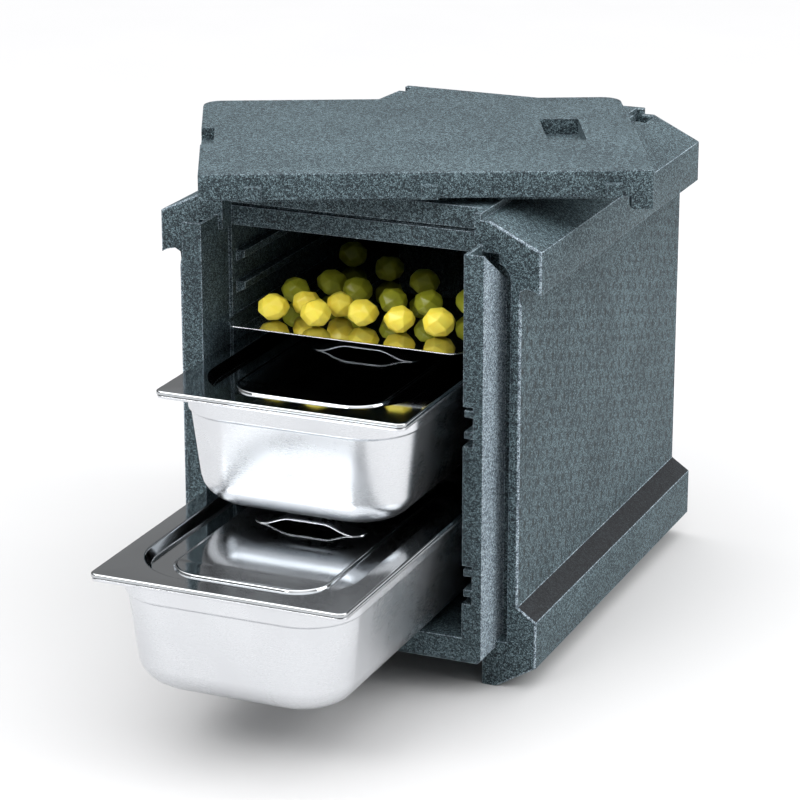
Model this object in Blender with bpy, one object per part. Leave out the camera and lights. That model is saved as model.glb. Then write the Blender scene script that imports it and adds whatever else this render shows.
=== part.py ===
"""Front-loading insulated food carrier with two lidded pans, a flat tray and its door.

Units are metres and +Z is up. The carrier is modelled with X across its width, its opening
towards -Y and its feet on z = 0. FRONT is the plane of the rail and foot ends (y = 0), from
which the door frame stands out. Everything hangs on one empty, which is moved at the end so
that the footprint of the whole assembly is centred on the origin.
"""
import math
import random

import bmesh
import bpy
from mathutils import Matrix, Vector

MM = 0.001
TOUCH = 0.3 * MM               # gap left between pieces that rest on each other

# ---- 1/1 catering pans, lids and tray: the case is made round these ----------------------
PAN_WIDTH = 325 * MM
PAN_LENGTH = 530 * MM
PAN_SHEET = 1.2 * MM
PAN_RIM = 12 * MM
PAN_TAPER = math.radians(6)
PAN_SHOULDER = 28 * MM
PAN_CORNER = 50 * MM
LID_SHEET = 1.0 * MM
LID_RISE = 5.0 * MM            # lid's flat border, above the pan's rim
LID_BORDER = 26 * MM
LID_DISH = 12 * MM             # lid's pressed dish, below its border
LID_PANEL_INSET = 63 * MM
LID_PANEL_RISE = 2.2 * MM
WELL_RADIUS = 58 * MM          # round well in the lid, under its handle
WELL_DEPTH = 11 * MM
HANDLE_FOOT = 12 * MM
HANDLE_GAP = 3 * MM            # from the well's edge to where a foot starts
HANDLE_WIDTH = 30 * MM
HANDLE_HEIGHT = 14.5 * MM
HANDLE_STRAP = 2.0 * MM
TRAY_EDGE = 4 * MM

# ---- each one's runner, how far it stands out of the case, and its place within its play --
LOWER_PAN_LEVEL, LOWER_PAN_DRAWN, LOWER_PAN_ASIDE = 3, 384 * MM, 4 * MM
UPPER_PAN_LEVEL, UPPER_PAN_DRAWN, UPPER_PAN_ASIDE = 7, 192 * MM, -5.5 * MM
TRAY_LEVEL, TRAY_DRAWN = 8, 26 * MM

# ---- runners inside the cavity -----------------------------------------------------------
RUNNER_PITCH = 41 * MM
RUNNER_COUNT = 11
RUNNER_THICKNESS = 9 * MM
RUNNER_START = 40 * MM         # behind FRONT

# ---- clearances --------------------------------------------------------------------------
SIDE_PLAY = 7 * MM             # cavity wall to a centred pan's rim
RUNNER_PLAY = 7 * MM           # runner's tip to a centred pan's wall
MOUTH_PLAY = 4.5 * MM          # door frame's inner face, outside the cavity wall
LENGTH_PLAY = 33 * MM          # cavity behind FRONT, beyond a pan's length
PAN_OVER_LID = 17 * MM         # a pan's bottom above the rim of the pan under it
PAN_OVER_FLOOR = 2.5 * MM
HEADROOM = 36.5 * MM           # above the top runner

# ---- the foam case -----------------------------------------------------------------------
SIDE_WALL = 59.5 * MM
BACK_WALL = 45 * MM
FLOOR_CLEARANCE = 47 * MM      # under the case, between the feet
FLOOR_WALL = 32 * MM
ROOF_WALL = 56 * MM
RAIL_STANDOUT = 25 * MM        # carrying rails and feet, beyond the side walls
RAIL_FACE = 54 * MM            # height of a rail's flat outer face
FOOT_FACE = 62 * MM            # height of a foot's flat outer face
TOP_STEP = 8.5 * MM            # flat top, above the ledges beside it
TOP_LEDGE = 13 * MM            # width of each ledge
CORNER_POCKET = (26 * MM, 38 * MM, 11 * MM)
FRAME_STANDOUT = 48 * MM       # door frame, ahead of FRONT
FRAME_TOP = 38 * MM            # frame's upper ends, below the flat top
SEAT_WIDTH = 15.6 * MM         # channel round the frame that the closed door's edge sits over
SEAT_RIM = 13.4 * MM           # side wall left outside the channel
SEAT_DEPTH = 26 * MM
EDGE_ROUND = 8 * MM            # front edges of the case

# ---- door, lying on the flat top with its outer face up ----------------------------------
DOOR_OVER_FRAME = 27 * MM      # door's length beyond the frame's height
DOOR_IN_FRAME = 4 * MM         # door's width within the frame's
DOOR_SLAB = 32 * MM
DOOR_BACK_CORNER = 24 * MM
DOOR_FRONT_CORNER = 6 * MM
DOOR_PLUG = 10 * MM            # raised inner panel
DOOR_PLUG_INSET = 28 * MM
DOOR_LEG = 17 * MM             # square leg under the front corner of its upper end
DOOR_LEG_SIZE = 26 * MM
DOOR_LUG = (20 * MM, 10 * MM, 17 * MM)
DOOR_GRIP = (50 * MM, 112 * MM, 20 * MM)
DOOR_GRIP_FROM_END = 67 * MM
DOOR_NOTCH = (17 * MM, 84 * MM, 15 * MM)
DOOR_TURN = math.radians(25.5)
DOOR_CENTRE = (18.5 * MM, 185.5 * MM)

# ---- peeled potatoes on the tray: centre x, y from the case's middle and FRONT, and size --
POTATOES = [
    (-110, 22, 43), (-50, 18, 44), (3, 42, 43), (55, 36, 43), (106, 40, 46), (-82, 58, 40),
    (-38, 66, 41), (62, 114, 42), (17, 106, 42), (-117, 104, 42), (-44, 132, 43), (20, 200, 43),
    (108, 140, 43), (-88, 152, 43), (-45, 238, 43), (-117, 283, 43),
]

# ---- sizes that follow from the ones above -----------------------------------------------
PAN_DEPTH = (UPPER_PAN_LEVEL - LOWER_PAN_LEVEL) * RUNNER_PITCH - PAN_OVER_LID
RUNNER_FIRST = PAN_DEPTH - LOWER_PAN_LEVEL * RUNNER_PITCH + PAN_OVER_FLOOR
HALF_CAVITY = PAN_WIDTH / 2 + SIDE_PLAY
HALF_BODY = HALF_CAVITY + SIDE_WALL
HALF_CASE = HALF_BODY + RAIL_STANDOUT
HALF_FRAME = HALF_BODY - SEAT_RIM - SEAT_WIDTH
RUNNER_REACH = SIDE_PLAY + PAN_RIM - RUNNER_PLAY
HALF_MOUTH = HALF_CAVITY + MOUTH_PLAY
CAVITY_FLOOR = FLOOR_CLEARANCE + FLOOR_WALL
CAVITY_ROOF = CAVITY_FLOOR + RUNNER_FIRST + (RUNNER_COUNT - 1) * RUNNER_PITCH + HEADROOM
CAVITY_BACK = PAN_LENGTH + LENGTH_PLAY
CASE_HEIGHT = CAVITY_ROOF + ROOF_WALL
CASE_DEPTH = CAVITY_BACK + BACK_WALL
FRAME_END = CASE_HEIGHT - FRAME_TOP
DOOR_LENGTH = FRAME_END - FLOOR_CLEARANCE + DOOR_OVER_FRAME
DOOR_WIDTH = 2 * HALF_FRAME - DOOR_IN_FRAME
DOOR_BOTTOM = CASE_HEIGHT + TOUCH + DOOR_PLUG
FOOT_INNER = HALF_BODY - 46 * MM
HALF_TOP = FOOT_INNER - 7 * MM  # flat top, narrow enough to pass between another case's feet
HALF_LEDGE = HALF_TOP + TOP_LEDGE
OVERRUN = 20 * MM              # how far cutters run past what they cut


def runner_top(level):
    """Height of a runner's upper face; level 0 is the lowest."""
    return CAVITY_FLOOR + RUNNER_FIRST + level * RUNNER_PITCH


# ---- tools -------------------------------------------------------------------------------
def remove_everything():
    for item in list(bpy.data.objects):
        bpy.data.objects.remove(item, do_unlink=True)


def make_material(name, colour, roughness, metallic=0.0):
    material = bpy.data.materials.new(name)
    material.use_nodes = True
    shader = material.node_tree.nodes["Principled BSDF"]
    shader.inputs["Base Color"].default_value = (*colour, 1.0)
    shader.inputs["Roughness"].default_value = roughness
    shader.inputs["Metallic"].default_value = metallic
    return material


def make_object(name, mesh_edit, material=None, parent=None, smooth_angle=None):
    bmesh.ops.recalc_face_normals(mesh_edit, faces=mesh_edit.faces)
    mesh = bpy.data.meshes.new(name)
    mesh_edit.to_mesh(mesh)
    mesh_edit.free()
    if smooth_angle is not None:
        mesh.shade_smooth()
        mesh.set_sharp_from_angle(angle=smooth_angle)
    item = bpy.data.objects.new(name, mesh)
    bpy.context.collection.objects.link(item)
    if material is not None:
        mesh.materials.append(material)
    item.parent = parent
    return item


def make_empty(name, location, parent=None):
    empty = bpy.data.objects.new(name, None)
    bpy.context.collection.objects.link(empty)
    empty.location = location
    empty.parent = parent
    return empty


def prism(outline, low, high, plane="XZ"):
    """A bmesh prism: outline in the named plane, extruded from low to high along the third axis."""
    place = {
        "XZ": lambda u, v, w: (u, w, v),
        "YZ": lambda u, v, w: (w, u, v),
        "XY": lambda u, v, w: (u, v, w),
    }[plane]
    mesh_edit = bmesh.new()
    face = mesh_edit.faces.new([mesh_edit.verts.new(place(u, v, low)) for u, v in outline])
    grown = bmesh.ops.extrude_face_region(mesh_edit, geom=[face])
    moved = [part for part in grown["geom"] if isinstance(part, bmesh.types.BMVert)]
    shift = Vector(place(0, 0, high)) - Vector(place(0, 0, low))
    bmesh.ops.translate(mesh_edit, verts=moved, vec=shift)
    return mesh_edit


def box(low, high):
    outline = [(low[0], low[1]), (high[0], low[1]), (high[0], high[1]), (low[0], high[1])]
    return prism(outline, low[2], high[2], "XY")


def combine(target, mesh_edit, name, operation="DIFFERENCE"):
    """Cuts or adds a hidden shape with a Boolean modifier."""
    cutter = make_object(name, mesh_edit, parent=target.parent)
    cutter.hide_render = True
    cutter.display_type = "WIRE"
    modifier = target.modifiers.new(name, "BOOLEAN")
    modifier.operation = operation
    modifier.solver = "EXACT"
    modifier.object = cutter


def mirrored(outline):
    """The right half of an outline, followed by its reflection in x = 0."""
    return outline + [(-u, v) for u, v in reversed(outline)]


def arc(centre, radius, start, end, steps):
    """Points on an arc, angles in degrees."""
    turns = [math.radians(start + (end - start) * i / steps) for i in range(steps + 1)]
    return [(centre[0] + radius * math.cos(t), centre[1] + radius * math.sin(t)) for t in turns]


def rounded_rectangle(half_x, half_y, back_radius, front_radius=None, steps=6):
    """Outline centred on the origin; its front (-Y) corners may have a radius of their own."""
    front_radius = back_radius if front_radius is None else front_radius
    corners = [(1, 1, 0, back_radius), (-1, 1, 90, back_radius),
               (-1, -1, 180, front_radius), (1, -1, 270, front_radius)]
    points = []
    for sign_x, sign_y, start, radius in corners:
        centre = (sign_x * (half_x - radius), sign_y * (half_y - radius))
        points += arc(centre, radius, start, start + 90, steps)
    return points


def pan_ring(inset, height, radius):
    """A ring set in from the outline that pans, lids and tray share."""
    return (PAN_WIDTH / 2 - inset, PAN_LENGTH / 2 - inset, height, radius)


def pressing(section, sheet):
    """A pressed sheet: rounded rectangles of (half width, half length, height, corner radius).

    The section runs from the outer edge to the innermost ring, which is closed flat, and the
    sheet's thickness is added on its lower, inner side.
    """
    lower = []
    for i, (half_x, half_y, height, radius) in enumerate(section):
        before = section[max(i - 1, 0)]
        after = section[min(i + 1, len(section) - 1)]
        along = Vector((before[0] - after[0], after[2] - before[2])).normalized()
        aside, down = sheet * along.y, sheet * along.x
        lower.append((half_x - aside, half_y - aside, height - down, max(radius - aside, sheet)))
    lower[-1] = (*section[-1][:2], section[-1][2] - sheet, section[-1][3])
    mesh_edit = bmesh.new()
    rings = []
    for half_x, half_y, height, radius in lower[::-1] + section:
        outline = rounded_rectangle(half_x, half_y, radius)
        rings.append([mesh_edit.verts.new((x, y, height)) for x, y in outline])
    for first, second in zip(rings, rings[1:]):
        for k in range(len(first)):
            mesh_edit.faces.new((first[k - 1], first[k], second[k], second[k - 1]))
    mesh_edit.faces.new(rings[0])
    mesh_edit.faces.new(rings[-1])
    return mesh_edit


def ribbon(path, thickness):
    """The closed outline of a strap of even thickness laid along a path in one plane."""
    near, far = [], []
    for i, point in enumerate(path):
        before = Vector(path[max(i - 1, 0)])
        after = Vector(path[min(i + 1, len(path) - 1)])
        along = (after - before).normalized()
        across = Vector((-along.y, along.x)) * thickness
        near.append(tuple(point))
        far.append((point[0] + across.x, point[1] + across.y))
    return near + far[::-1]


# ---- the foam case -----------------------------------------------------------------------
def case_outline():
    """Front view of the case, right half from the underside's middle up to the top's middle."""
    foot_flat, foot_bevel = 20 * MM, 31 * MM
    foot_top = foot_bevel + FOOT_FACE
    rail_top = CASE_HEIGHT - 40 * MM
    rail_bottom = rail_top - RAIL_FACE
    right = [
        (FOOT_INNER, FLOOR_CLEARANCE),
        (FOOT_INNER, 0),
        (FOOT_INNER + foot_flat, 0),
        (HALF_CASE, foot_bevel),
        (HALF_CASE, foot_top),
        (HALF_BODY, foot_top + 17 * MM),
        (HALF_BODY, rail_bottom - 16 * MM),
        (HALF_BODY - 2.5 * MM, rail_bottom - 6 * MM),
        (HALF_BODY - 1.5 * MM, rail_bottom + 3 * MM),
        (HALF_BODY + 6 * MM, rail_bottom + 7 * MM),
        (HALF_BODY + 17 * MM, rail_bottom + 4.5 * MM),
        (HALF_CASE, rail_bottom),
        (HALF_CASE, rail_top),
        (HALF_LEDGE, CASE_HEIGHT - TOP_STEP),
        (HALF_TOP, CASE_HEIGHT - TOP_STEP),
        (HALF_TOP, CASE_HEIGHT),
    ]
    return mirrored(right)


def cavity_outline():
    """Section of the cavity with its runners left standing on both side walls."""
    right = [(HALF_CAVITY, CAVITY_FLOOR)]
    for level in range(RUNNER_COUNT):
        top = runner_top(level)
        tip = HALF_CAVITY - RUNNER_REACH
        right += [
            (HALF_CAVITY, top - RUNNER_THICKNESS - RUNNER_REACH / 2),
            (tip, top - RUNNER_THICKNESS),
            (tip, top),
            (HALF_CAVITY, top),
        ]
    right.append((HALF_CAVITY, CAVITY_ROOF))
    return mirrored(right)


def frame_outline():
    """The door frame: two uprights and a sill, open at the top."""
    foot = 5 * MM
    return mirrored([
        (HALF_FRAME - foot, FLOOR_CLEARANCE),
        (HALF_FRAME, FLOOR_CLEARANCE + foot),
        (HALF_FRAME, FRAME_END),
        (HALF_MOUTH, FRAME_END),
        (HALF_MOUTH, CAVITY_FLOOR),
    ])


def seat_outline(side):
    """Channel beside one upright; its upper end curves in over the upright."""
    outer = HALF_FRAME + SEAT_WIDTH
    low = FLOOR_CLEARANCE + 14 * MM
    bend = FRAME_END - 20 * MM
    points = [(HALF_FRAME, low), (outer, low)]
    points += arc((outer - 22 * MM, bend - 22 * MM), 22 * MM, 0, 70, 5)
    points.append((HALF_FRAME, bend))
    return [(side * x, z) for x, z in points]


def make_case(material, parent):
    body = prism(case_outline(), 0, CASE_DEPTH)
    front = [
        edge for edge in body.edges
        if all(abs(v.co.y) < 1e-6 and abs(v.co.x) > HALF_LEDGE - TOUCH for v in edge.verts)
        and edge.calc_length() > 2 * EDGE_ROUND
    ]
    bmesh.ops.bevel(body, geom=front, offset=EDGE_ROUND, affect="EDGES", segments=3,
                    profile=0.5, material=-1, clamp_overlap=True)
    case = make_object("case", body, material, parent)
    for side, word in ((-1, "left"), (1, "right")):
        combine(case, prism(seat_outline(side), -OVERRUN, SEAT_DEPTH), f"seat_{word}")
    combine(case, prism(frame_outline(), -FRAME_STANDOUT, SEAT_DEPTH + 4 * MM), "frame", "UNION")
    half_recess = HALF_CAVITY - 1.5 * MM
    top_recess = box((-half_recess, -OVERRUN, CAVITY_ROOF - OVERRUN),
                     (half_recess, SEAT_DEPTH, CASE_HEIGHT + OVERRUN))
    combine(case, top_recess, "top_recess")
    groove_low = CASE_HEIGHT - 31 * MM
    groove = box((-half_recess, SEAT_DEPTH - OVERRUN, groove_low),
                 (half_recess, SEAT_DEPTH + 6 * MM, groove_low + 4 * MM))
    combine(case, groove, "brow_groove")
    mouth = box((-HALF_MOUTH, -FRAME_STANDOUT - OVERRUN, CAVITY_FLOOR),
                (HALF_MOUTH, SEAT_DEPTH + 2 * MM, CAVITY_ROOF))
    combine(case, mouth, "mouth")
    throat = box((-HALF_CAVITY, SEAT_DEPTH, CAVITY_FLOOR),
                 (HALF_CAVITY, RUNNER_START, CAVITY_ROOF))
    combine(case, throat, "throat")
    combine(case, prism(cavity_outline(), RUNNER_START - 1 * MM, CAVITY_BACK), "cavity")
    for side, word in ((-1, "left"), (1, "right")):
        add_frame_details(case, side, word)
        add_corner_pocket(case, side, word)
    return case


def add_corner_pocket(case, side, word):
    """Small pocket in the flat top's rear corner, open to the ledge beside it."""
    wide, long, deep = CORNER_POCKET
    across = sorted((side * (HALF_TOP - 10 * MM), side * (HALF_TOP - 10 * MM + wide)))
    rear = CASE_DEPTH - 10 * MM
    pocket = box((across[0], rear - long, CASE_HEIGHT - TOP_STEP - deep),
                 (across[1], rear, CASE_HEIGHT + OVERRUN))
    combine(case, pocket, f"corner_pocket_{word}")


def add_frame_details(case, side, word):
    """Upright's sloping upper end, and two pockets in its inner face with runner stubs."""
    skin = HALF_MOUTH + 4.5 * MM
    across = sorted((side * skin, side * (HALF_FRAME + 0.2 * MM)))
    top = FRAME_END + 5 * MM
    slope = [
        (-FRAME_STANDOUT + 4 * MM, top),
        (-FRAME_STANDOUT + 4 * MM, FRAME_END - 2 * MM),
        (SEAT_DEPTH, FRAME_END - 46 * MM),
        (SEAT_DEPTH, FRAME_END - 9 * MM),
        (0, FRAME_END - 9 * MM),
        (0, top),
    ]
    combine(case, prism(slope, across[0], across[1], "YZ"), f"upright_end_{word}")
    stub = RUNNER_THICKNESS
    pocket_depth = 13 * MM
    for number, level in enumerate((1, 6)):
        low = runner_top(level) - 22 * MM
        near = HALF_MOUTH - 5 * MM
        wall = HALF_MOUTH + pocket_depth
        first, second = low + 10 * MM, low + 46 * MM - stub
        outline = [(near, low), (wall, low)]
        for height in (first, second):
            outline += [(wall, height), (wall - 11 * MM, height),
                        (wall - 11 * MM, height + stub), (wall, height + stub)]
        outline += [(wall, low + 50 * MM), (near, low + 50 * MM)]
        outline = [(side * x, z) for x, z in outline]
        pocket = prism(outline, -FRAME_STANDOUT - OVERRUN, SEAT_DEPTH + 1 * MM)
        combine(case, pocket, f"pocket_{word}_{number}")


# ---- the foam door -----------------------------------------------------------------------
def make_door(material, parent):
    """Modelled round its own centre with the slab's underside on z = 0, and turned by its empty."""
    half_length, half_width = DOOR_LENGTH / 2, DOOR_WIDTH / 2
    outline = rounded_rectangle(half_length, half_width, DOOR_BACK_CORNER, DOOR_FRONT_CORNER)
    slab = prism(outline, 0, DOOR_SLAB, "XY")
    rim = [edge for edge in slab.edges if all(v.co.z > DOOR_SLAB - 1e-6 for v in edge.verts)]
    bmesh.ops.bevel(slab, geom=rim, offset=2.5 * MM, affect="EDGES", segments=2,
                    profile=0.5, material=-1, clamp_overlap=True)
    door = make_object("door", slab, material, parent)
    inset = DOOR_PLUG_INSET
    plug_outline = rounded_rectangle(half_length - inset, half_width - inset, DOOR_BACK_CORNER)
    combine(door, prism(plug_outline, -DOOR_PLUG, 5 * MM, "XY"), "door_plug", "UNION")
    lug_length, lug_reach, lug_height = DOOR_LUG
    for side in (-1, 1):
        edge = side * half_width
        for number, along in enumerate((-0.76, 0.01, 0.82)):
            middle = along * half_length
            ends = sorted((edge - side * 5 * MM, edge + side * lug_reach))
            lug = box((middle - lug_length / 2, ends[0], 0.5 * MM),
                      (middle + lug_length / 2, ends[1], 0.5 * MM + lug_height))
            combine(door, lug, f"door_lug_{'front' if side < 0 else 'back'}_{number}", "UNION")
    set_in = 1.5 * MM
    leg = box((half_length - set_in - DOOR_LEG_SIZE, set_in - half_width, -DOOR_LEG),
              (half_length - set_in, set_in - half_width + DOOR_LEG_SIZE, 5 * MM))
    combine(door, leg, "door_leg", "UNION")
    grip_length, grip_width, grip_depth = DOOR_GRIP
    grip_end = half_length - DOOR_GRIP_FROM_END
    grip_side = 16 * MM
    grip = box((grip_end - grip_length, grip_side - grip_width / 2, DOOR_SLAB - grip_depth),
               (grip_end, grip_side + grip_width / 2, DOOR_SLAB + OVERRUN))
    combine(door, grip, "door_grip")
    notch_reach, notch_width, notch_depth = DOOR_NOTCH
    notch = box((-half_length - OVERRUN, -notch_width / 2, DOOR_SLAB - notch_depth),
                (-half_length + notch_reach, notch_width / 2, DOOR_SLAB + OVERRUN))
    combine(door, notch, "door_notch")
    return door


# ---- pressed steel: pans, lids, handles, tray --------------------------------------------
def make_pan(name, material, parent):
    """Rim's underside is on z = 0, so the pan hangs from the runners by it."""
    rim = PAN_SHEET
    fall = PAN_DEPTH - PAN_SHOULDER
    fillet = 28 * MM
    lean = math.tan(PAN_TAPER)
    wall_in = PAN_RIM + 2 * MM
    shoulder_in = wall_in + 3.5 * MM
    foot_in = shoulder_in + (fall - fillet) * lean
    section = [
        pan_ring(0, rim, 12 * MM),
        pan_ring(PAN_RIM, rim, PAN_CORNER),
        pan_ring(wall_in, rim - 3 * MM, PAN_CORNER),
        pan_ring(wall_in + 0.5 * MM, rim - PAN_SHOULDER + 3 * MM, PAN_CORNER),
        pan_ring(shoulder_in, rim - PAN_SHOULDER, PAN_CORNER - 2 * MM),
    ]
    for inset, depth in arc((foot_in + fillet, fall - fillet), fillet, 180, 96, 4):
        section.append(pan_ring(inset, rim - PAN_SHOULDER - depth, PAN_CORNER - 6 * MM))
    pan = pressing(section, PAN_SHEET)
    return make_object(name, pan, material, parent, math.radians(35))


def make_lid(name, material, parent):
    """The pan's rim, with the lid's folded edge standing on it, is at z = 0."""
    floor = LID_RISE - LID_DISH
    panel = floor + LID_PANEL_RISE
    section = [
        pan_ring(0, TOUCH + LID_SHEET, 12 * MM),
        pan_ring(0, LID_RISE, 12 * MM),
        pan_ring(LID_BORDER, LID_RISE, 84 * MM),
        pan_ring(LID_BORDER + 3 * MM, LID_RISE - 3 * MM, 81 * MM),
        pan_ring(LID_BORDER + 5 * MM, floor + 2 * MM, 79 * MM),
        pan_ring(LID_BORDER + 8 * MM, floor, 76 * MM),
        pan_ring(LID_PANEL_INSET, floor, 43 * MM),
        pan_ring(LID_PANEL_INSET + 2 * MM, panel, 41 * MM),
    ]
    for inward, fall in ((0, 0), (3, 0.25), (8, 0.8), (16, 1.0)):
        radius = WELL_RADIUS - inward * MM
        section.append((radius + 0.1 * MM, radius + 0.1 * MM, panel - fall * WELL_DEPTH, radius))
    lid = pressing(section, LID_SHEET)
    return make_object(name, lid, material, parent, math.radians(35))


def make_handle(name, material, parent):
    """A bent strap across the lid's well, with a flat foot each end on the panel at z = 0."""
    top = HANDLE_HEIGHT - HANDLE_STRAP
    bend = top / 2
    outer = WELL_RADIUS + HANDLE_GAP
    half = outer + HANDLE_FOOT
    right = arc((outer, bend), bend, 270, 200, 3)
    right += arc((outer - 3.2 * bend, top - 1.4 * bend), 1.4 * bend, 30, 90, 4)
    path = [(half, 0)] + right + [(-x, z) for x, z in reversed(right)] + [(-half, 0)]
    path = [(x, z + TOUCH) for x, z in path]
    strap = prism(ribbon(path, -HANDLE_STRAP), -HANDLE_WIDTH / 2, HANDLE_WIDTH / 2)
    return make_object(name, strap, material, parent, math.radians(40))


def make_tray(name, material, parent):
    """A flat tray with a low turned-up edge; its underside is on z = 0."""
    section = [
        pan_ring(0.8 * MM, TRAY_EDGE + PAN_SHEET, 20 * MM),
        pan_ring(2.5 * MM, PAN_SHEET + 1.2 * MM, 18 * MM),
        pan_ring(7 * MM, PAN_SHEET, 16 * MM),
    ]
    tray = pressing(section, PAN_SHEET)
    return make_object(name, tray, material, parent, math.radians(35))


# ---- food --------------------------------------------------------------------------------
def make_potato(number, centre_x, centre_y, size, material, parent):
    """A peeled potato: the hull of seeded points on an egg, so each peeling cut is a flat facet."""
    pick = random.Random(100 + number)
    mesh_edit = bmesh.new()
    half = size / 2
    squash = (1.0, 0.94, 0.86)
    points = 26
    for i in range(points):
        height = 1 - 2 * (i + 0.5) / points
        turn = i * math.pi * (3 - math.sqrt(5)) + pick.uniform(-0.25, 0.25)
        radius = math.sqrt(1 - height * height)
        direction = Vector((radius * math.cos(turn), radius * math.sin(turn), height))
        reach = half * pick.uniform(0.93, 1.0)
        mesh_edit.verts.new([direction[k] * reach * squash[k] for k in range(3)])
    hull = bmesh.ops.convex_hull(mesh_edit, input=mesh_edit.verts)
    loose = [part for part in hull["geom_interior"] if isinstance(part, bmesh.types.BMVert)]
    bmesh.ops.delete(mesh_edit, geom=loose, context="VERTS")
    turn = Matrix.Rotation(pick.uniform(0, math.tau), 3, "Z")
    bmesh.ops.rotate(mesh_edit, verts=mesh_edit.verts, cent=(0, 0, 0), matrix=turn)
    lowest = min(vertex.co.z for vertex in mesh_edit.verts)
    rest = Vector((centre_x, centre_y, PAN_SHEET + TOUCH - lowest))
    bmesh.ops.translate(mesh_edit, verts=mesh_edit.verts, vec=rest)
    return make_object(f"potato_{number:02d}", mesh_edit, material, parent)


# ---- assembly ----------------------------------------------------------------------------
def centre_of_footprint(root):
    """Moves the root so that the assembly's lowest face is centred on the origin."""
    bpy.context.view_layer.update()
    depsgraph = bpy.context.evaluated_depsgraph_get()
    low, high = [math.inf] * 2, [-math.inf] * 2
    for item in bpy.data.objects:
        if item.type != "MESH" or item.hide_render:
            continue
        shape = item.evaluated_get(depsgraph)
        for vertex in shape.data.vertices:
            place = shape.matrix_world @ vertex.co
            low = [min(low[k], place[k]) for k in range(2)]
            high = [max(high[k], place[k]) for k in range(2)]
    root.location = (-(low[0] + high[0]) / 2, -(low[1] + high[1]) / 2, 0)
    bpy.context.view_layer.update()


def add_lidded_pan(word, level, drawn, aside, steel, parent):
    place = (aside, PAN_LENGTH / 2 - drawn, runner_top(level) + TOUCH)
    pan_slide = make_empty(f"{word}_pan_slide", place, parent)
    make_pan(f"{word}_pan", steel, pan_slide)
    lid_lift = make_empty(f"{word}_lid_lift", (0, 0, PAN_SHEET), pan_slide)
    make_lid(f"{word}_lid", steel, lid_lift)
    panel = LID_RISE - LID_DISH + LID_PANEL_RISE
    handle_seat = make_empty(f"{word}_handle_seat", (0, 0, panel), lid_lift)
    make_handle(f"{word}_lid_handle", steel, handle_seat)


def build():
    remove_everything()
    foam = make_material("foam", (0.055, 0.075, 0.08), 0.85)
    steel = make_material("steel", (0.72, 0.73, 0.75), 0.28, 1.0)
    mirror = make_material("mirror_steel", (0.62, 0.63, 0.65), 0.06, 1.0)
    flesh = make_material("peeled_potato", (0.86, 0.68, 0.12), 0.4)
    root = make_empty("carrier", (0, 0, 0))
    make_case(foam, root)
    door_lift = make_empty("door_lift", (*DOOR_CENTRE, DOOR_BOTTOM), root)
    door_lift.rotation_euler.z = DOOR_TURN
    make_door(foam, door_lift)
    add_lidded_pan("lower", LOWER_PAN_LEVEL, LOWER_PAN_DRAWN, LOWER_PAN_ASIDE, steel, root)
    add_lidded_pan("upper", UPPER_PAN_LEVEL, UPPER_PAN_DRAWN, UPPER_PAN_ASIDE, steel, root)
    tray_place = (0, PAN_LENGTH / 2 - TRAY_DRAWN, runner_top(TRAY_LEVEL) + TOUCH)
    tray_slide = make_empty("tray_slide", tray_place, root)
    make_tray("tray", mirror, tray_slide)
    for number, (x, y, size) in enumerate(POTATOES, start=1):
        make_potato(number, x * MM, y * MM - tray_place[1], size * MM, flesh, tray_slide)
    centre_of_footprint(root)


build()
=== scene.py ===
# %% [markdown]
# # Dressing a food carrier
# A caterer's carrier is one thick moulding of bead foam: thousands of small plastic beads
# steamed together in a tool. It holds steel pans on runners, and its door lies on top here.
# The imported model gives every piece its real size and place, so this lesson only has to make
# the surfaces believable: speckled foam, mirror-bright lids, satin pans and peeled potatoes.

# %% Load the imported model
import math

import bmesh
import bpy
from mathutils import Matrix, Vector


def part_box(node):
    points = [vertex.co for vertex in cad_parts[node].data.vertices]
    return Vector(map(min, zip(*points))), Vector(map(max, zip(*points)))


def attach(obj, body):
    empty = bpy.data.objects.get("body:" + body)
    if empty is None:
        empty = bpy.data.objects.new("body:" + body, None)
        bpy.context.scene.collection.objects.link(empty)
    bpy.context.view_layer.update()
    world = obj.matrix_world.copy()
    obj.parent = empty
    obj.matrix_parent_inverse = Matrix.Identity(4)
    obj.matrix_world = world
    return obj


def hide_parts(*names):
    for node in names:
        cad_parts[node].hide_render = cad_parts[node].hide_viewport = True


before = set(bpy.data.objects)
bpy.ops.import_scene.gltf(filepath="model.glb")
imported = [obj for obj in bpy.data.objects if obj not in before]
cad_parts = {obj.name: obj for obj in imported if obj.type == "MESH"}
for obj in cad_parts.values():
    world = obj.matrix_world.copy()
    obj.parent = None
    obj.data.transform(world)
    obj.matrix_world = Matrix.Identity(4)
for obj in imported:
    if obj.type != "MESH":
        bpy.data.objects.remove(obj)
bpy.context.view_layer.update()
MM = 0.001

# %% [markdown]
# Every place in this lesson is measured from the case. Its middle in X and the front plane of
# its rails are the two values that matter, because the door frame stands 48 mm ahead of them.

# %% Measure the case
case_low, case_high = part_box("case")
MIDDLE = (case_low.x + case_high.x) / 2
FRAME_STANDOUT = 48 * MM
RAIL_OVERHANG = 25 * MM
FRONT = case_low.y + FRAME_STANDOUT
HALF_WALL = (case_high.x - case_low.x) / 2 - RAIL_OVERHANG
print(f"case middle x = {MIDDLE:.4f}, rail fronts at y = {FRONT:.4f}")

# %% [markdown]
# ## Writing shader maths in plain Python
# A shader is a graph of small sums, and graphs are slow to read as a list of nodes. Wrapping a
# socket in a class with + - * / lets a pattern be written as the sum that it is. Each operator
# adds one Math node, and `Paint.node` adds any other node in one line.

# %% A value that writes its own Math nodes


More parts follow.
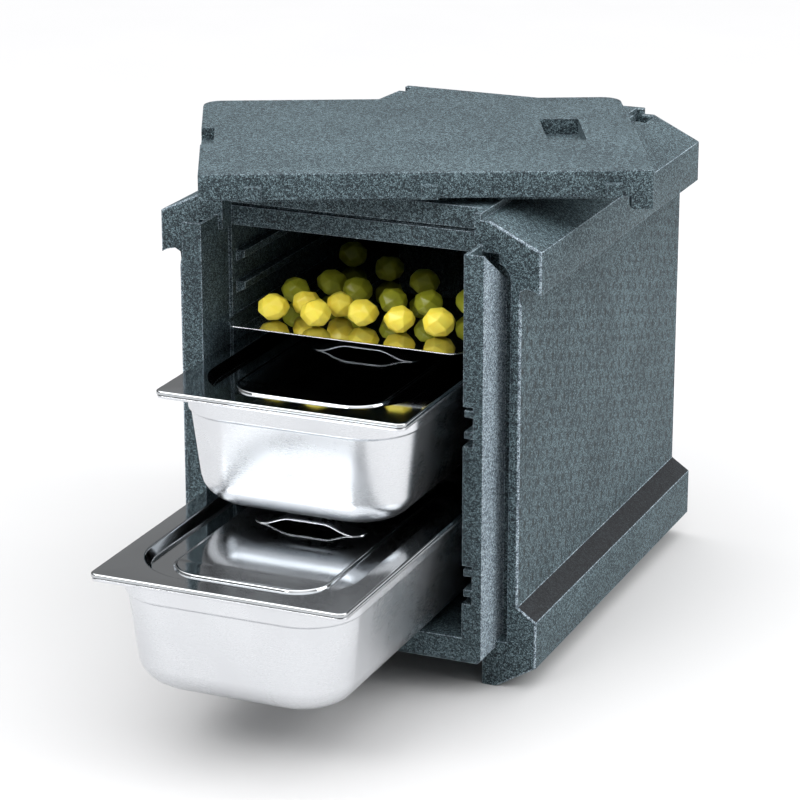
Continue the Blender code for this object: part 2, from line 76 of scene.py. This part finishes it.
class Value:
    def __init__(self, paint, socket):
        self.paint = paint
        self.socket = socket

    def maths(self, operation, other=0.0):
        return self.paint.node("ShaderNodeMath", {"operation": operation}, [self, other])

    def __add__(self, other):
        return self.maths("ADD", other)

    def __sub__(self, other):
        return self.maths("SUBTRACT", other)

    def __mul__(self, other):
        return self.maths("MULTIPLY", other)

    def __truediv__(self, other):
        return self.maths("DIVIDE", other)

    def __rsub__(self, other):
        return self.paint.node("ShaderNodeMath", {"operation": "SUBTRACT"}, [other, self])

    __radd__ = __add__
    __rmul__ = __mul__


# %% A material and its one way to add nodes


class Paint:
    def __init__(self, name, **constants):
        self.material = bpy.data.materials.new(name)
        self.material.use_nodes = True
        self.tree = self.material.node_tree
        self.shader = self.tree.nodes["Principled BSDF"]
        for socket, value in constants.items():
            self.shader.inputs[socket.replace("_", " ").title()].default_value = value
        self.place = self.node("ShaderNodeTexCoord", out="Object")

    def node(self, kind, settings=None, inputs=None, out=0):
        """Adds a node, sets it up, feeds it values or links, and returns one of its outputs."""
        made = self.tree.nodes.new(kind)
        for name, value in (settings or {}).items():
            if name == "stops":
                ramp = made.color_ramp
                while len(ramp.elements) < len(value):
                    ramp.elements.new(1.0)
                for element, (position, colour) in zip(ramp.elements, value):
                    element.position = position
                    element.color = colour
            else:
                setattr(made, name, value)
        pairs = inputs.items() if isinstance(inputs, dict) else enumerate(inputs or [])
        for key, value in pairs:
            if isinstance(value, Value):
                self.tree.links.new(value.socket, made.inputs[key])
            else:
                made.inputs[key].default_value = value
        return Value(self, made.outputs[out])

    def feed(self, socket, value):
        self.tree.links.new(value.socket, self.shader.inputs[socket])

    def ramp(self, factor, *stops):
        """Maps a number to a colour, or to a number where the stops are grey."""
        stops = [(p, (*c, 1.0) if isinstance(c, tuple) else (c, c, c, 1.0)) for p, c in stops]
        return self.node("ShaderNodeValToRGB", {"stops": stops}, {"Fac": factor}, "Color")

    def noise(self, scale, detail=3.0, roughness=0.5, place=None):
        sockets = {"Vector": place or self.place, "Scale": scale, "Detail": detail,
                   "Roughness": roughness}
        return self.node("ShaderNodeTexNoise", None, sockets, "Fac")

    def cells(self, scale, out="Distance", feature="F1"):
        sockets = {"Vector": self.place, "Scale": scale}
        return self.node("ShaderNodeTexVoronoi", {"feature": feature}, sockets, out)

    def mix(self, factor, first, second):
        """Mixes two colours. A Math node would turn them grey."""
        first = (*first, 1.0) if isinstance(first, tuple) else first
        second = (*second, 1.0) if isinstance(second, tuple) else second
        sockets = {0: factor, 6: first, 7: second}
        return self.node("ShaderNodeMix", {"data_type": "RGBA"}, sockets, 2)

    def bump(self, height, distance, strength=1.0):
        sockets = {"Height": height, "Distance": distance, "Strength": strength}
        self.feed("Normal", self.node("ShaderNodeBump", None, sockets, "Normal"))


print("shader helpers ready")

# %% [markdown]
# ## Bead foam
# Moulded bead foam is a skin of flattened beads about 2 mm across. Each bead took the colour a
# little differently, so the surface is a fine mosaic of blue-greens with pale flecks, not one
# grey. The beads come from a cell texture: its colour output gives each bead its own shade, and
# its edge distance sinks the joints between them. Finer noises stand for the flecks and the
# grainy mould skin. The same pattern in paler tones is painted highlight on the rounded edges and
# the uprights' sides, and in near-black tones it is painted shade on the feet's sloping tops.

# %% Shades of foam, dark to pale
FOAM_SHADES = ((0.30, (0.003, 0.006, 0.009)), (0.44, (0.013, 0.023, 0.030)),
               (0.55, (0.032, 0.056, 0.066)), (0.72, (0.20, 0.28, 0.31)))
# Paler tones: painted highlight on the rounded edges and the uprights' sides.
PAINTED_HIGHLIGHT_TONES = ((0.30, (0.012, 0.020, 0.028)), (0.44, (0.085, 0.115, 0.140)),
                 (0.55, (0.17, 0.22, 0.26)), (0.72, (0.55, 0.66, 0.72)))
# Near-black tones: painted shade on the feet's sloping tops.
PAINTED_SHADE_TONES = ((0.30, (0.002, 0.002, 0.003)), (0.44, (0.004, 0.005, 0.007)),
                (0.55, (0.008, 0.010, 0.012)), (0.72, (0.035, 0.043, 0.050)))
BEADS_PER_METRE = 520.0


# %% Foam, with and without the marks of the tool
def make_foam(name, shades, tool_marks):
    paint = Paint(name, roughness=0.62, coat_weight=0.0)
    paint.shader.inputs["Specular IOR Level"].default_value = 0.35
    bead = paint.cells(BEADS_PER_METRE, "Color")
    shade = paint.node("ShaderNodeSeparateColor", None, {"Color": bead}, "Red")
    joint = paint.cells(BEADS_PER_METRE, "Distance", "DISTANCE_TO_EDGE")
    grain = paint.noise(1900.0, 2.0, 0.6)
    fleck = paint.noise(1050.0, 2.0, 0.7)
    drift = paint.noise(9.0, 2.0)
    tone = (shade - 0.5) * 0.26 + (fleck - 0.5) * 1.35 + (drift - 0.5) * 0.10 + 0.5
    colour = paint.ramp(tone, *shades)
    sunk = paint.ramp(joint, (0.0, 0.0), (0.10, 1.0))
    height = sunk * 0.5 + grain * 0.6
    if tool_marks:
        height, colour = add_tool_marks(paint, height, colour)
    paint.feed("Base Color", colour)
    paint.feed("Roughness", grain * 0.25 + 0.55)
    paint.bump(height, 0.00016, 0.8)
    return paint.material


# %% [markdown]
# Steam enters the tool through slotted plugs, which leave small dark upright marks on the side
# walls. A repeating grid in Y and Z gives them: each cell's own distance to its centre makes a
# mark, each column is shifted so that they stand in slanting rows, and they are only let through
# where the wall is flat and faces sideways. The pins that push the moulding out leave two rings
# on the brow above the opening.

# %% Marks and rings left by the tool
VENT_COLUMNS = 15 * MM
VENT_ROWS = 36 * MM
VENT_SHIFT = 22 * MM
VENT_WIDTH = 9 * MM
PIN_SIDES = (-113 * MM, 85 * MM)
PIN_HEIGHT = 570 * MM
PIN_RADIUS = 9.5 * MM


def repeat(value, pitch):
    """Distance from the middle of each stripe, in metres."""
    return ((value / pitch).maths("FRACT") - 0.5) * pitch


def ring_mark(across, up, radius, width):
    """One on the circle of this radius, fading to zero at half the width each side of it."""
    reach = (across * across + up * up).maths("SQRT")
    return 1.0 - ((reach - radius).maths("ABSOLUTE") / (width / 2)).maths("MINIMUM", 1.0)


def add_tool_marks(paint, height, colour):
    vector = paint.node("ShaderNodeVectorMath", {"operation": "SUBTRACT"},
                        [paint.place, (MIDDLE, FRONT, 0.0)], "Vector")
    side, depth, up = (paint.node("ShaderNodeSeparateXYZ", None, [vector], axis) for axis in "XYZ")
    across = side.maths("ABSOLUTE")
    column = (depth / VENT_COLUMNS).maths("FLOOR")
    along_slot = repeat(up + column * VENT_SHIFT, VENT_ROWS) * 0.7
    vent = ring_mark(repeat(depth, VENT_COLUMNS), along_slot, 0.0, VENT_WIDTH)
    vent = (vent * 2.4).maths("MINIMUM", 1.0)
    on_wall = across.maths("GREATER_THAN", HALF_WALL - 1 * MM)
    inside = across.maths("LESS_THAN", HALF_WALL + 1 * MM)
    clear = up.maths("GREATER_THAN", 110 * MM) * up.maths("LESS_THAN", 470 * MM)
    mark = vent * on_wall * inside * clear
    on_brow = depth.maths("LESS_THAN", 30 * MM)
    for pin_side in PIN_SIDES:
        pin = ring_mark(side - pin_side, up - PIN_HEIGHT, PIN_RADIUS, 3.6 * MM)
        mark = mark + pin * on_brow
    return height - mark * 1.6, paint.mix(mark * 0.75, colour, (0.012, 0.016, 0.018))


FOAM_CASE = make_foam("bead_foam_case", FOAM_SHADES, tool_marks=True)
FOAM_DOOR = make_foam("bead_foam_door", FOAM_SHADES, tool_marks=False)
# Paler foam: painted highlight on the rounded edges and the uprights' sides.
FOAM_PAINTED_HIGHLIGHT = make_foam("bead_foam_painted_highlight", PAINTED_HIGHLIGHT_TONES, tool_marks=False)
# Near-black foam: painted shade on the feet's sloping tops.
FOAM_PAINTED_SHADE = make_foam("bead_foam_painted_shade", PAINTED_SHADE_TONES, tool_marks=False)
print("foam:", FOAM_CASE.name, FOAM_DOOR.name, FOAM_PAINTED_HIGHLIGHT.name, FOAM_PAINTED_SHADE.name)

# %% [markdown]
# ## Steel
# Four finishes of the same stainless sheet. The pans are satin, from drawing and a light
# brushing round the walls. The lids are buffed almost to a mirror and carry only faint hairline
# scratches, and their handles are a little duller. The lids' colour is also painted darker than
# the pans': painted shade for the dark surroundings that they mirror. The tray is a true mirror.
# In all four the roughness varies and the colour barely does, because that is how polished metal
# shows its handling.

# %% Pan, lid, handle and tray steel


def make_steel(name, base, rough_low, rough_high, hairline, bump):
    paint = Paint(name, metallic=1.0)
    stretched = paint.node("ShaderNodeMapping", None,
                           {"Vector": paint.place, "Scale": (18.0, 18.0, 900.0)}, "Vector")
    brushed = paint.noise(6.0, 3.0, 0.6, stretched)
    cloud = paint.noise(14.0, 3.0)
    wiped = cloud * 0.6 + brushed * hairline
    rough = paint.ramp(wiped, (0.25, rough_low), (0.75, rough_high))
    paint.feed("Roughness", rough)
    darker = tuple(0.90 * c for c in base)
    paint.feed("Base Color", paint.mix(cloud, base, darker))
    paint.bump(brushed * hairline + paint.noise(5.0, 1.0) * 0.3, bump, 0.6)
    return paint.material


PAN_STEEL = make_steel("satin_pan_steel", (0.72, 0.735, 0.76), 0.22, 0.32, 0.5, 0.000012)
# The lids' base colour is darker than the pans': painted shade for the dark surroundings mirrored.
LID_STEEL_PAINTED_SHADE = make_steel("buffed_lid_steel_painted_shade", (0.50, 0.52, 0.535), 0.06, 0.12, 0.2, 0.00002)
HANDLE_STEEL = make_steel("handle_steel", (0.66, 0.68, 0.70), 0.15, 0.22, 0.2, 0.00003)
TRAY_STEEL = make_steel("mirror_tray_steel", (0.70, 0.71, 0.72), 0.02, 0.05, 0.1, 0.00001)
print("steels:", PAN_STEEL.name, LID_STEEL_PAINTED_SHADE.name, HANDLE_STEEL.name, TRAY_STEEL.name)

# %% [markdown]
# ## Peeled potatoes
# Raw peeled flesh is waxy and a little wet, so it is a soft yellow with a thin clear coat and
# some light passing just under the surface. The front ones are a warm yellow. Those at the back
# stand in the carrier's shade, so their flesh is painted darker and greener: painted shade.

# %% Potato flesh


def make_flesh(name, light, deep):
    paint = Paint(name, subsurface_weight=0.12, coat_weight=0.2, coat_roughness=0.2)
    paint.shader.inputs["Subsurface Radius"].default_value = (0.004, 0.002, 0.001)
    paint.shader.inputs["Subsurface Scale"].default_value = 1.0
    patch = paint.noise(60.0, 3.0)
    starch = paint.noise(900.0, 2.0)
    paint.feed("Base Color", paint.mix(patch * 1.4 - 0.2, light, deep))
    paint.feed("Roughness", starch * 0.2 + 0.32)
    paint.bump(starch * 0.4 + patch * 0.6, 0.0004, 0.5)
    return paint.material


FLESH_FRONT = make_flesh("potato_flesh", (0.98, 0.86, 0.12), (0.95, 0.72, 0.04))
# Darker, greener flesh: painted shade for the potatoes at the back.
FLESH_PAINTED_SHADE = make_flesh("potato_flesh_painted_shade", (0.52, 0.53, 0.035), (0.30, 0.33, 0.02))
print("flesh:", FLESH_FRONT.name, FLESH_PAINTED_SHADE.name)

# %% [markdown]
# ## Foam mouldings
# Foam has no sharp edges: the beads can't fill a tool's corner. The CAD solids are right in
# shape but knife-edged, so each is copied, its loose triangles are merged and made whole faces
# again, and a small Bevel with smooth shading rounds every edge. The Bevel gives its own faces a
# paler foam: painted highlight for the light that rounded edges catch. A strip narrower than two
# bevels would fold over itself and shade black, so the pockets that leave one are deepened first.

# %% Write a bmesh out as a piece


def new_piece(mesh_edit, name, *materials):
    """A smooth-shaded piece with these materials. The bmesh is used up."""
    mesh = bpy.data.meshes.new(name)
    mesh_edit.to_mesh(mesh)
    mesh_edit.free()
    mesh.shade_smooth()
    for material in materials:
        mesh.materials.append(material)
    piece = bpy.data.objects.new(name, mesh)
    bpy.context.collection.objects.link(piece)
    return piece


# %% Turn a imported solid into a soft-edged moulding


def soft_copy(node, name, round_off, materials, body, segments=3, angle=28, mend=None):
    """The last material goes on the rounded edges. mend may change the bmesh first."""
    mesh_edit = bmesh.new()
    mesh_edit.from_mesh(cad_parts[node].data)
    if mend:
        mend(mesh_edit)
    bmesh.ops.remove_doubles(mesh_edit, verts=mesh_edit.verts, dist=0.00002)
    bmesh.ops.dissolve_limit(mesh_edit, angle_limit=math.radians(0.5),
                             verts=mesh_edit.verts, edges=mesh_edit.edges)
    piece = new_piece(mesh_edit, name, *materials)
    bevel = piece.modifiers.new("soft_edges", "BEVEL")
    bevel.material = len(materials) - 1
    bevel.width = round_off
    bevel.segments = segments
    bevel.limit_method = "ANGLE"
    bevel.angle_limit = math.radians(angle)
    bevel.harden_normals = True
    bevel.use_clamp_overlap = True
    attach(piece, body)
    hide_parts(node)
    return piece


POCKET_BACK = 27 * MM
STEP_BACK = 28 * MM
FRONT_ROUNDING = 8 * MM


def deepen_pockets(mesh_edit):
    """Moves the backs of the uprights' pockets 1 mm, flush with the step beside them."""
    for vert in mesh_edit.verts:
        if abs(vert.co.y - FRONT - POCKET_BACK) < 0.1 * MM:
            vert.co.y = FRONT + STEP_BACK


def paint_highlight_and_shade(piece):
    """Painted highlight on the front edges and uprights' sides, painted shade on the feet's
    slopes.
    """
    upright_side = HALF_WALL - 29 * MM
    for face in piece.data.polygons:
        behind = face.center.y - FRONT
        aside = abs(face.center.x - MIDDLE)
        is_turned = 0.02 < abs(face.normal.y) < 0.98
        is_round = is_turned and 0.1 * MM < behind < FRONT_ROUNDING - 0.1 * MM
        is_upright = abs(aside - upright_side) < 0.5 * MM and behind < 26 * MM
        is_slope = 0.3 < face.normal.z < 0.95 and aside > HALF_WALL and face.center.z < 0.2
        # Near-black foam as painted shade on the slopes, paler foam as painted highlight
        # elsewhere.
        if is_slope:
            face.material_index = 1
        elif is_round or is_upright:
            face.material_index = 2


FOAM_ROUNDING = 1.6 * MM
# The case's second foam is painted shade for the feet, its third painted highlight for edges.
case = soft_copy("case", "foam_case", FOAM_ROUNDING, (FOAM_CASE, FOAM_PAINTED_SHADE, FOAM_PAINTED_HIGHLIGHT),
                 "case", mend=deepen_pockets)
# The door's rounded edges get the paler foam as painted highlight.
door = soft_copy("door", "foam_door", FOAM_ROUNDING, (FOAM_DOOR, FOAM_PAINTED_HIGHLIGHT), "door")
paint_highlight_and_shade(case)
print("foam case from", len(case.data.polygons), "faces; door from", len(door.data.polygons))

# %% [markdown]
# ## Pressed steel
# A pan or a lid is one sheet pressed through rings of rounded rectangles. Each ring starts as a
# square face whose four corners are bevelled, and the sheet is joined from ring to ring. Where
# two rings lie at one height the flat between them is filled, so it shades dead flat.

# %% One ring of the pressing


def add_ring(mesh_edit, half_x, half_y, radius, height, segments=12):
    made = bmesh.ops.create_grid(mesh_edit, x_segments=1, y_segments=1, size=1.0)
    corners = made["verts"]
    bmesh.ops.scale(mesh_edit, verts=corners, vec=(half_x, half_y, 1.0))
    bmesh.ops.translate(mesh_edit, verts=corners, vec=(0, 0, height))
    rounded = bmesh.ops.bevel(mesh_edit, geom=corners, offset=radius, segments=segments,
                              profile=0.5, affect="VERTICES", material=-1)
    face = rounded["verts"][0].link_faces[0]
    edges = list(face.edges)
    bmesh.ops.delete(mesh_edit, geom=[face], context="FACES_ONLY")
    return edges


# %% [markdown]
# A press never leaves a sharp fold, so the section's corners are first replaced by small arcs.
# The section is a list of (distance in from the edge, height, bend radius).

# %% Round the folds of a section


def round_folds(section, steps=4):
    """Replaces each inner corner of an (inset, height, bend radius) line with an arc."""
    points = [tuple(section[0][:2])]
    for before, here, after in zip(section, section[1:], section[2:]):
        corner = Vector(here[:2])
        back = (Vector(before[:2]) - corner)
        ahead = (Vector(after[:2]) - corner)
        turn = back.angle(ahead)
        reach = here[2] / math.tan(turn / 2)
        start = corner + back.normalized() * reach
        end = corner + ahead.normalized() * reach
        centre = corner + (back.normalized() + ahead.normalized()).normalized() * (
            here[2] / math.sin(turn / 2))
        sweep = (start - centre).angle_signed(end - centre)
        for k in range(steps + 1):
            turned = (start - centre).copy()
            turned.rotate(Matrix.Rotation(-sweep * k / steps, 2))
            points.append(tuple(centre + turned))
    points.append(tuple(section[-1][:2]))
    return points


# %% [markdown]
# Wide flats beside tight bends are hard to shade smoothly: the bend's slant leaks into the flat
# and a mirror finish shows it at once. A Weighted Normal modifier gives the large face the say,
# so the flats stay flat and only the bends curve.

# %% Press a sheet


def make_rings(half_x, half_y, section, corner_radius, steps=4):
    """Rings of (half width, half length, height, corner radius); the radius goes by the inset."""
    return [(half_x - inset, half_y - inset, height, corner_radius(inset))
            for inset, height in round_folds(section, steps)]


def press_sheet(name, centre, rings, thickness, material, body):
    """The last ring is closed flat."""
    mesh_edit = bmesh.new()
    before, last_height = None, None
    for half_x, half_y, height, radius in rings:
        ring = add_ring(mesh_edit, half_x, half_y, radius, height)
        if before:
            if abs(height - last_height) < 1e-6:
                bmesh.ops.triangle_fill(mesh_edit, use_beauty=True, edges=before + ring)
            else:
                bmesh.ops.bridge_loops(mesh_edit, edges=before + ring)
        before, last_height = ring, height
    bmesh.ops.contextual_create(mesh_edit, geom=before)
    bmesh.ops.recalc_face_normals(mesh_edit, faces=mesh_edit.faces)
    middle = min(mesh_edit.faces, key=lambda f: f.calc_center_median().xy.length)
    if middle.normal.z < 0:
        bmesh.ops.reverse_faces(mesh_edit, faces=mesh_edit.faces)
    bmesh.ops.translate(mesh_edit, verts=mesh_edit.verts, vec=centre)
    piece = new_piece(mesh_edit, name, material)
    piece.data.set_sharp_from_angle(angle=math.radians(35))
    wall = piece.modifiers.new("sheet", "SOLIDIFY")
    wall.thickness = thickness
    wall.offset = -1.0
    flats = piece.modifiers.new("flats", "WEIGHTED_NORMAL")
    flats.keep_sharp = True
    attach(piece, body)
    return piece


# %% [markdown]
# The pan hangs by a flat rim turned down at its edge. Below the rim the wall is upright for
# 28 mm, steps in at a shoulder so that pans can stack without jamming, then tapers to a bottom
# with a generous bend.

# %% Pans


def pan_corner(inset):
    return 10 * MM if inset < 5 * MM else max(74 * MM - 0.5 * inset, 20 * MM)


def make_pan(node, name):
    low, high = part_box(node)
    centre = Vector(((low.x + high.x) / 2, (low.y + high.y) / 2, high.z))
    half_x, half_y, depth = (high.x - low.x) / 2, (high.y - low.y) / 2, high.z - low.z
    taper = math.tan(math.radians(6))
    wall, shoulder = 13 * MM, 28 * MM
    foot = wall + 3.5 * MM + (depth - shoulder) * taper
    section = [
        (0.2 * MM, -3.2 * MM, 0),
        (0.2 * MM, 0, 1.0 * MM),
        (wall, 0, 3.0 * MM),
        (wall + 0.5 * MM, -shoulder + 3 * MM, 2.0 * MM),
        (wall + 3.5 * MM, -shoulder, 2.0 * MM),
        (foot, -depth + 1.2 * MM, 38 * MM),
        (foot + 45 * MM, -depth + 1.2 * MM, 0),
    ]
    rings = make_rings(half_x, half_y, section, pan_corner, 6)
    pan = press_sheet(name, centre, rings, 1.1 * MM, PAN_STEEL, node)
    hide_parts(node)
    return pan


pans = [make_pan("upper_pan", "upper_steel_pan"), make_pan("lower_pan", "lower_steel_pan")]
print("pans:", [p.name for p in pans])

# %% [markdown]
# The lid lies on the rim with a folded edge. A flat border runs round it, then the sheet drops
# into a dish, and a raised panel with a bead stiffens the middle. The bead catches a thin bright
# line that follows its four round corners. In the panel's centre is a round well, so that
# fingers fit under the handle while it hardly stands above the lid.

# %% Lids
WELL_RADIUS = 58 * MM
WELL_DEPTH = 11 * MM


def lid_corner(inset):
    """Sharp at the folded edge, widest round the dish, tighter round the panel."""
    if inset < 5 * MM:
        return 9 * MM
    return 110 * MM - inset if inset < 40 * MM else 90 * MM - 0.75 * inset


def well_corner(inset):
    """Nearly the ring's own half width, so that it is round."""
    return WELL_RADIUS - inset - 0.1 * MM


def make_lid(node, name):
    low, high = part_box(node)
    centre = Vector(((low.x + high.x) / 2, (low.y + high.y) / 2, high.z))
    half_x, half_y = (high.x - low.x) / 2, (high.y - low.y) / 2
    border, dish, bead_at, rise = 26 * MM, 12 * MM, 62 * MM, 2.4 * MM
    panel = rise - dish
    section = [
        (0.1 * MM, -3.6 * MM, 0),
        (0.1 * MM, 0, 1.2 * MM),
        (border, 0, 2.0 * MM),
        (border + 7 * MM, -dish, 3.5 * MM),
        (bead_at, -dish, 1.2 * MM),
        (bead_at + 1.6 * MM, panel + 0.8 * MM, 0.9 * MM),
        (bead_at + 4.2 * MM, panel, 1.2 * MM),
        (bead_at + 8 * MM, panel, 0),
    ]
    well = [
        (-5 * MM, panel, 0),
        (0, panel, 2.5 * MM),
        (WELL_DEPTH, panel - WELL_DEPTH, 20 * MM),
        (28 * MM, panel - WELL_DEPTH, 0),
    ]
    rings = make_rings(half_x, half_y, section, lid_corner)
    rings += make_rings(WELL_RADIUS, WELL_RADIUS, well, well_corner, 6)
    lid = press_sheet(name, centre, rings, 0.9 * MM, LID_STEEL_PAINTED_SHADE, node)
    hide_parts(node)
    return lid


lids = [make_lid("upper_lid", "upper_steel_lid"), make_lid("lower_lid", "lower_steel_lid")]
print("lids:", [p.name for p in lids])

# %% [markdown]
# Each handle is a broad strap pressed to a low arch over the well, with a round-ended foot each
# side, spot-welded to the panel. A finely cut grid is bent with one smooth curve, crowned a
# little across its width, then given its thickness and soft edges.

# %% Lid handles


def make_handle(node, name, body):
    low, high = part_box(node)
    mesh_edit = bmesh.new()
    made = bmesh.ops.create_grid(mesh_edit, x_segments=72, y_segments=10, size=0.5)
    span, width, height = high.x - low.x, high.y - low.y, high.z - low.z
    bmesh.ops.scale(mesh_edit, verts=made["verts"], vec=(span, width, 1))
    strap, crown_height = 1.8 * MM, 3.2 * MM
    foot_starts, arch_ends, end_round = WELL_RADIUS + 3 * MM, 22 * MM, 13 * MM
    for vertex in mesh_edit.verts:
        reach = abs(vertex.co.x)
        lift = min(max((foot_starts - reach) / (foot_starts - arch_ends), 0.0), 1.0)
        smooth = lift * lift * (3 - 2 * lift)
        crown = 1.0 - (vertex.co.y / (width / 2)) ** 2
        vertex.co.z = strap + smooth * (height - strap - crown_height + crown * crown_height)
        past = max(reach - (span / 2 - end_round), 0.0) / end_round
        vertex.co.y *= max(math.sqrt(1.0 - past * past), 0.3)
    centre = Vector(((low.x + high.x) / 2, (low.y + high.y) / 2, low.z))
    bmesh.ops.translate(mesh_edit, verts=mesh_edit.verts, vec=centre)
    piece = new_piece(mesh_edit, name, HANDLE_STEEL)
    wall = piece.modifiers.new("strap", "SOLIDIFY")
    wall.thickness = strap
    wall.offset = -1.0
    edges = piece.modifiers.new("soft_edges", "BEVEL")
    edges.width = 0.5 * MM
    edges.segments = 3
    edges.limit_method = "ANGLE"
    edges.angle_limit = math.radians(50)
    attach(piece, body)
    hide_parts(node)
    return piece


handles = [make_handle("upper_lid_handle", "upper_handle", "upper_lid"),
           make_handle("lower_lid_handle", "lower_handle", "lower_lid")]
print("handles:", [p.name for p in handles])

# %% [markdown]
# The tray is the simplest pressing: a mirror sheet with round corners and its edge turned up a
# few millimetres, so it shows as one thin bright line along the front.

# %% Tray


def tray_corner(inset):
    return max(20 * MM - 0.3 * inset, 8 * MM)


def make_tray():
    low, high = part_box("tray")
    centre = Vector(((low.x + high.x) / 2, (low.y + high.y) / 2, low.z))
    edge = 0.6 * (high.z - low.z)
    section = [
        (0.1 * MM, edge, 0),
        (2.2 * MM, 2.4 * MM, 2.5 * MM),
        (7.5 * MM, 1.2 * MM, 3.0 * MM),
        (40 * MM, 1.2 * MM, 0),
    ]
    rings = make_rings((high.x - low.x) / 2, (high.y - low.y) / 2, section, tray_corner)
    tray = press_sheet("flat_tray", centre, rings, 1.0 * MM, TRAY_STEEL, "tray")
    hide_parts("tray")
    return tray


tray = make_tray()
print("tray:", [round(v, 4) for v in tray.dimensions])

# %% [markdown]
# A knife leaves flat facets with soft ridges between them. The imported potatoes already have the
# facets, so they only need their ridges rounded.

# %% Potatoes
POTATO_COUNT = 16
SHADED_FROM = 80 * MM
potatoes = []
for number in range(1, POTATO_COUNT + 1):
    node = f"potato_{number:02d}"
    low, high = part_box(node)
    # Potatoes further back than this get the flesh with painted shade.
    rear = (low.y + high.y) / 2 - FRONT > SHADED_FROM
    flesh = FLESH_PAINTED_SHADE if rear else FLESH_FRONT
    potatoes.append(soft_copy(node, f"peeled_{node}", 1.1 * MM, (flesh,), "tray",
                              segments=2, angle=8))
print(len(potatoes), "potatoes")

# %% [markdown]
# ## A plain studio
# The floor is a wide pale sheet. The light comes from a bright overhead sky that is dark round
# the horizon, because polished lids mirror the horizon and should look dark, with one faint
# grey band just above it that the lids' borders catch. Two soft boxes help it: one on the right
# lifts that side, and one high at the front reaches the potatoes and the pans' fronts. The front
# one stays high, or the lids would mirror it by way of the pans.

# %% Floor
floor_paint = Paint("pale_floor", roughness=0.9)
floor_paint.feed("Base Color", floor_paint.mix(floor_paint.noise(3.0), (0.54, 0.54, 0.54),
                                               (0.56, 0.56, 0.56)))
floor_edit = bmesh.new()
bmesh.ops.create_grid(floor_edit, x_segments=1, y_segments=1, size=30.0)
floor = new_piece(floor_edit, "studio_floor", floor_paint.material)
print("floor:", floor.name)

# %% Sky and soft boxes
world = bpy.data.worlds.new("studio_sky")
bpy.context.scene.world = world
world.use_nodes = True
nodes, links = world.node_tree.nodes, world.node_tree.links
direction = nodes.new("ShaderNodeTexCoord")
parts = nodes.new("ShaderNodeSeparateXYZ")
fade = nodes.new("ShaderNodeValToRGB")
links.new(direction.outputs["Generated"], parts.inputs[0])
links.new(parts.outputs["Z"], fade.inputs["Fac"])
links.new(fade.outputs["Color"], nodes["Background"].inputs["Color"])
sky_stops = ((0.0, 0.0), (0.20, 0.015), (0.33, 0.12), (0.50, 0.05), (0.74, 0.9), (1.0, 1.0))
while len(fade.color_ramp.elements) < len(sky_stops):
    fade.color_ramp.elements.new(0.5)
for element, (position, level) in zip(fade.color_ramp.elements, sky_stops):
    element.position = position
    element.color = (level, level, level * 1.01, 1.0)
nodes["Background"].inputs["Strength"].default_value = 2.85


def add_soft_box(name, position, aim, width, height, power):
    lamp = bpy.data.lights.new(name, "AREA")
    lamp.shape = "RECTANGLE"
    lamp.size, lamp.size_y, lamp.energy = width, height, power
    box = bpy.data.objects.new(name, lamp)
    bpy.context.collection.objects.link(box)
    box.location = position
    box.rotation_euler = (Vector(aim) - Vector(position)).to_track_quat("-Z", "Y").to_euler()
    return box


target = (MIDDLE, FRONT + 0.3, 0.3)
add_soft_box("right_box", (MIDDLE + 3.0, FRONT + 0.6, 1.7), target, 2.0, 2.0, 60)
add_soft_box("front_box", (MIDDLE - 1.35, FRONT - 2.9, 2.9), target, 2.2, 1.4, 66)
print("lights:", [lamp.name for lamp in bpy.data.lights])

# %% [markdown]
# ## The camera
# A long lens from the front right, a little above the carrier, keeps its edges almost parallel.

# %% Camera
lens = bpy.data.cameras.new("view")
camera = bpy.data.objects.new("view", lens)
bpy.context.collection.objects.link(camera)
lens.sensor_width = 36.0
lens.lens = 138.7
lens.clip_end = 200.0
camera.location = (MIDDLE + 1.4837, FRONT - 3.3097, 1.5622)
camera.rotation_euler = (math.radians(90 - 18.47), 0.0, math.radians(23.11))
bpy.context.scene.camera = camera
bpy.context.scene.view_settings.view_transform = "Standard"
print("camera at", [round(v, 2) for v in camera.location])
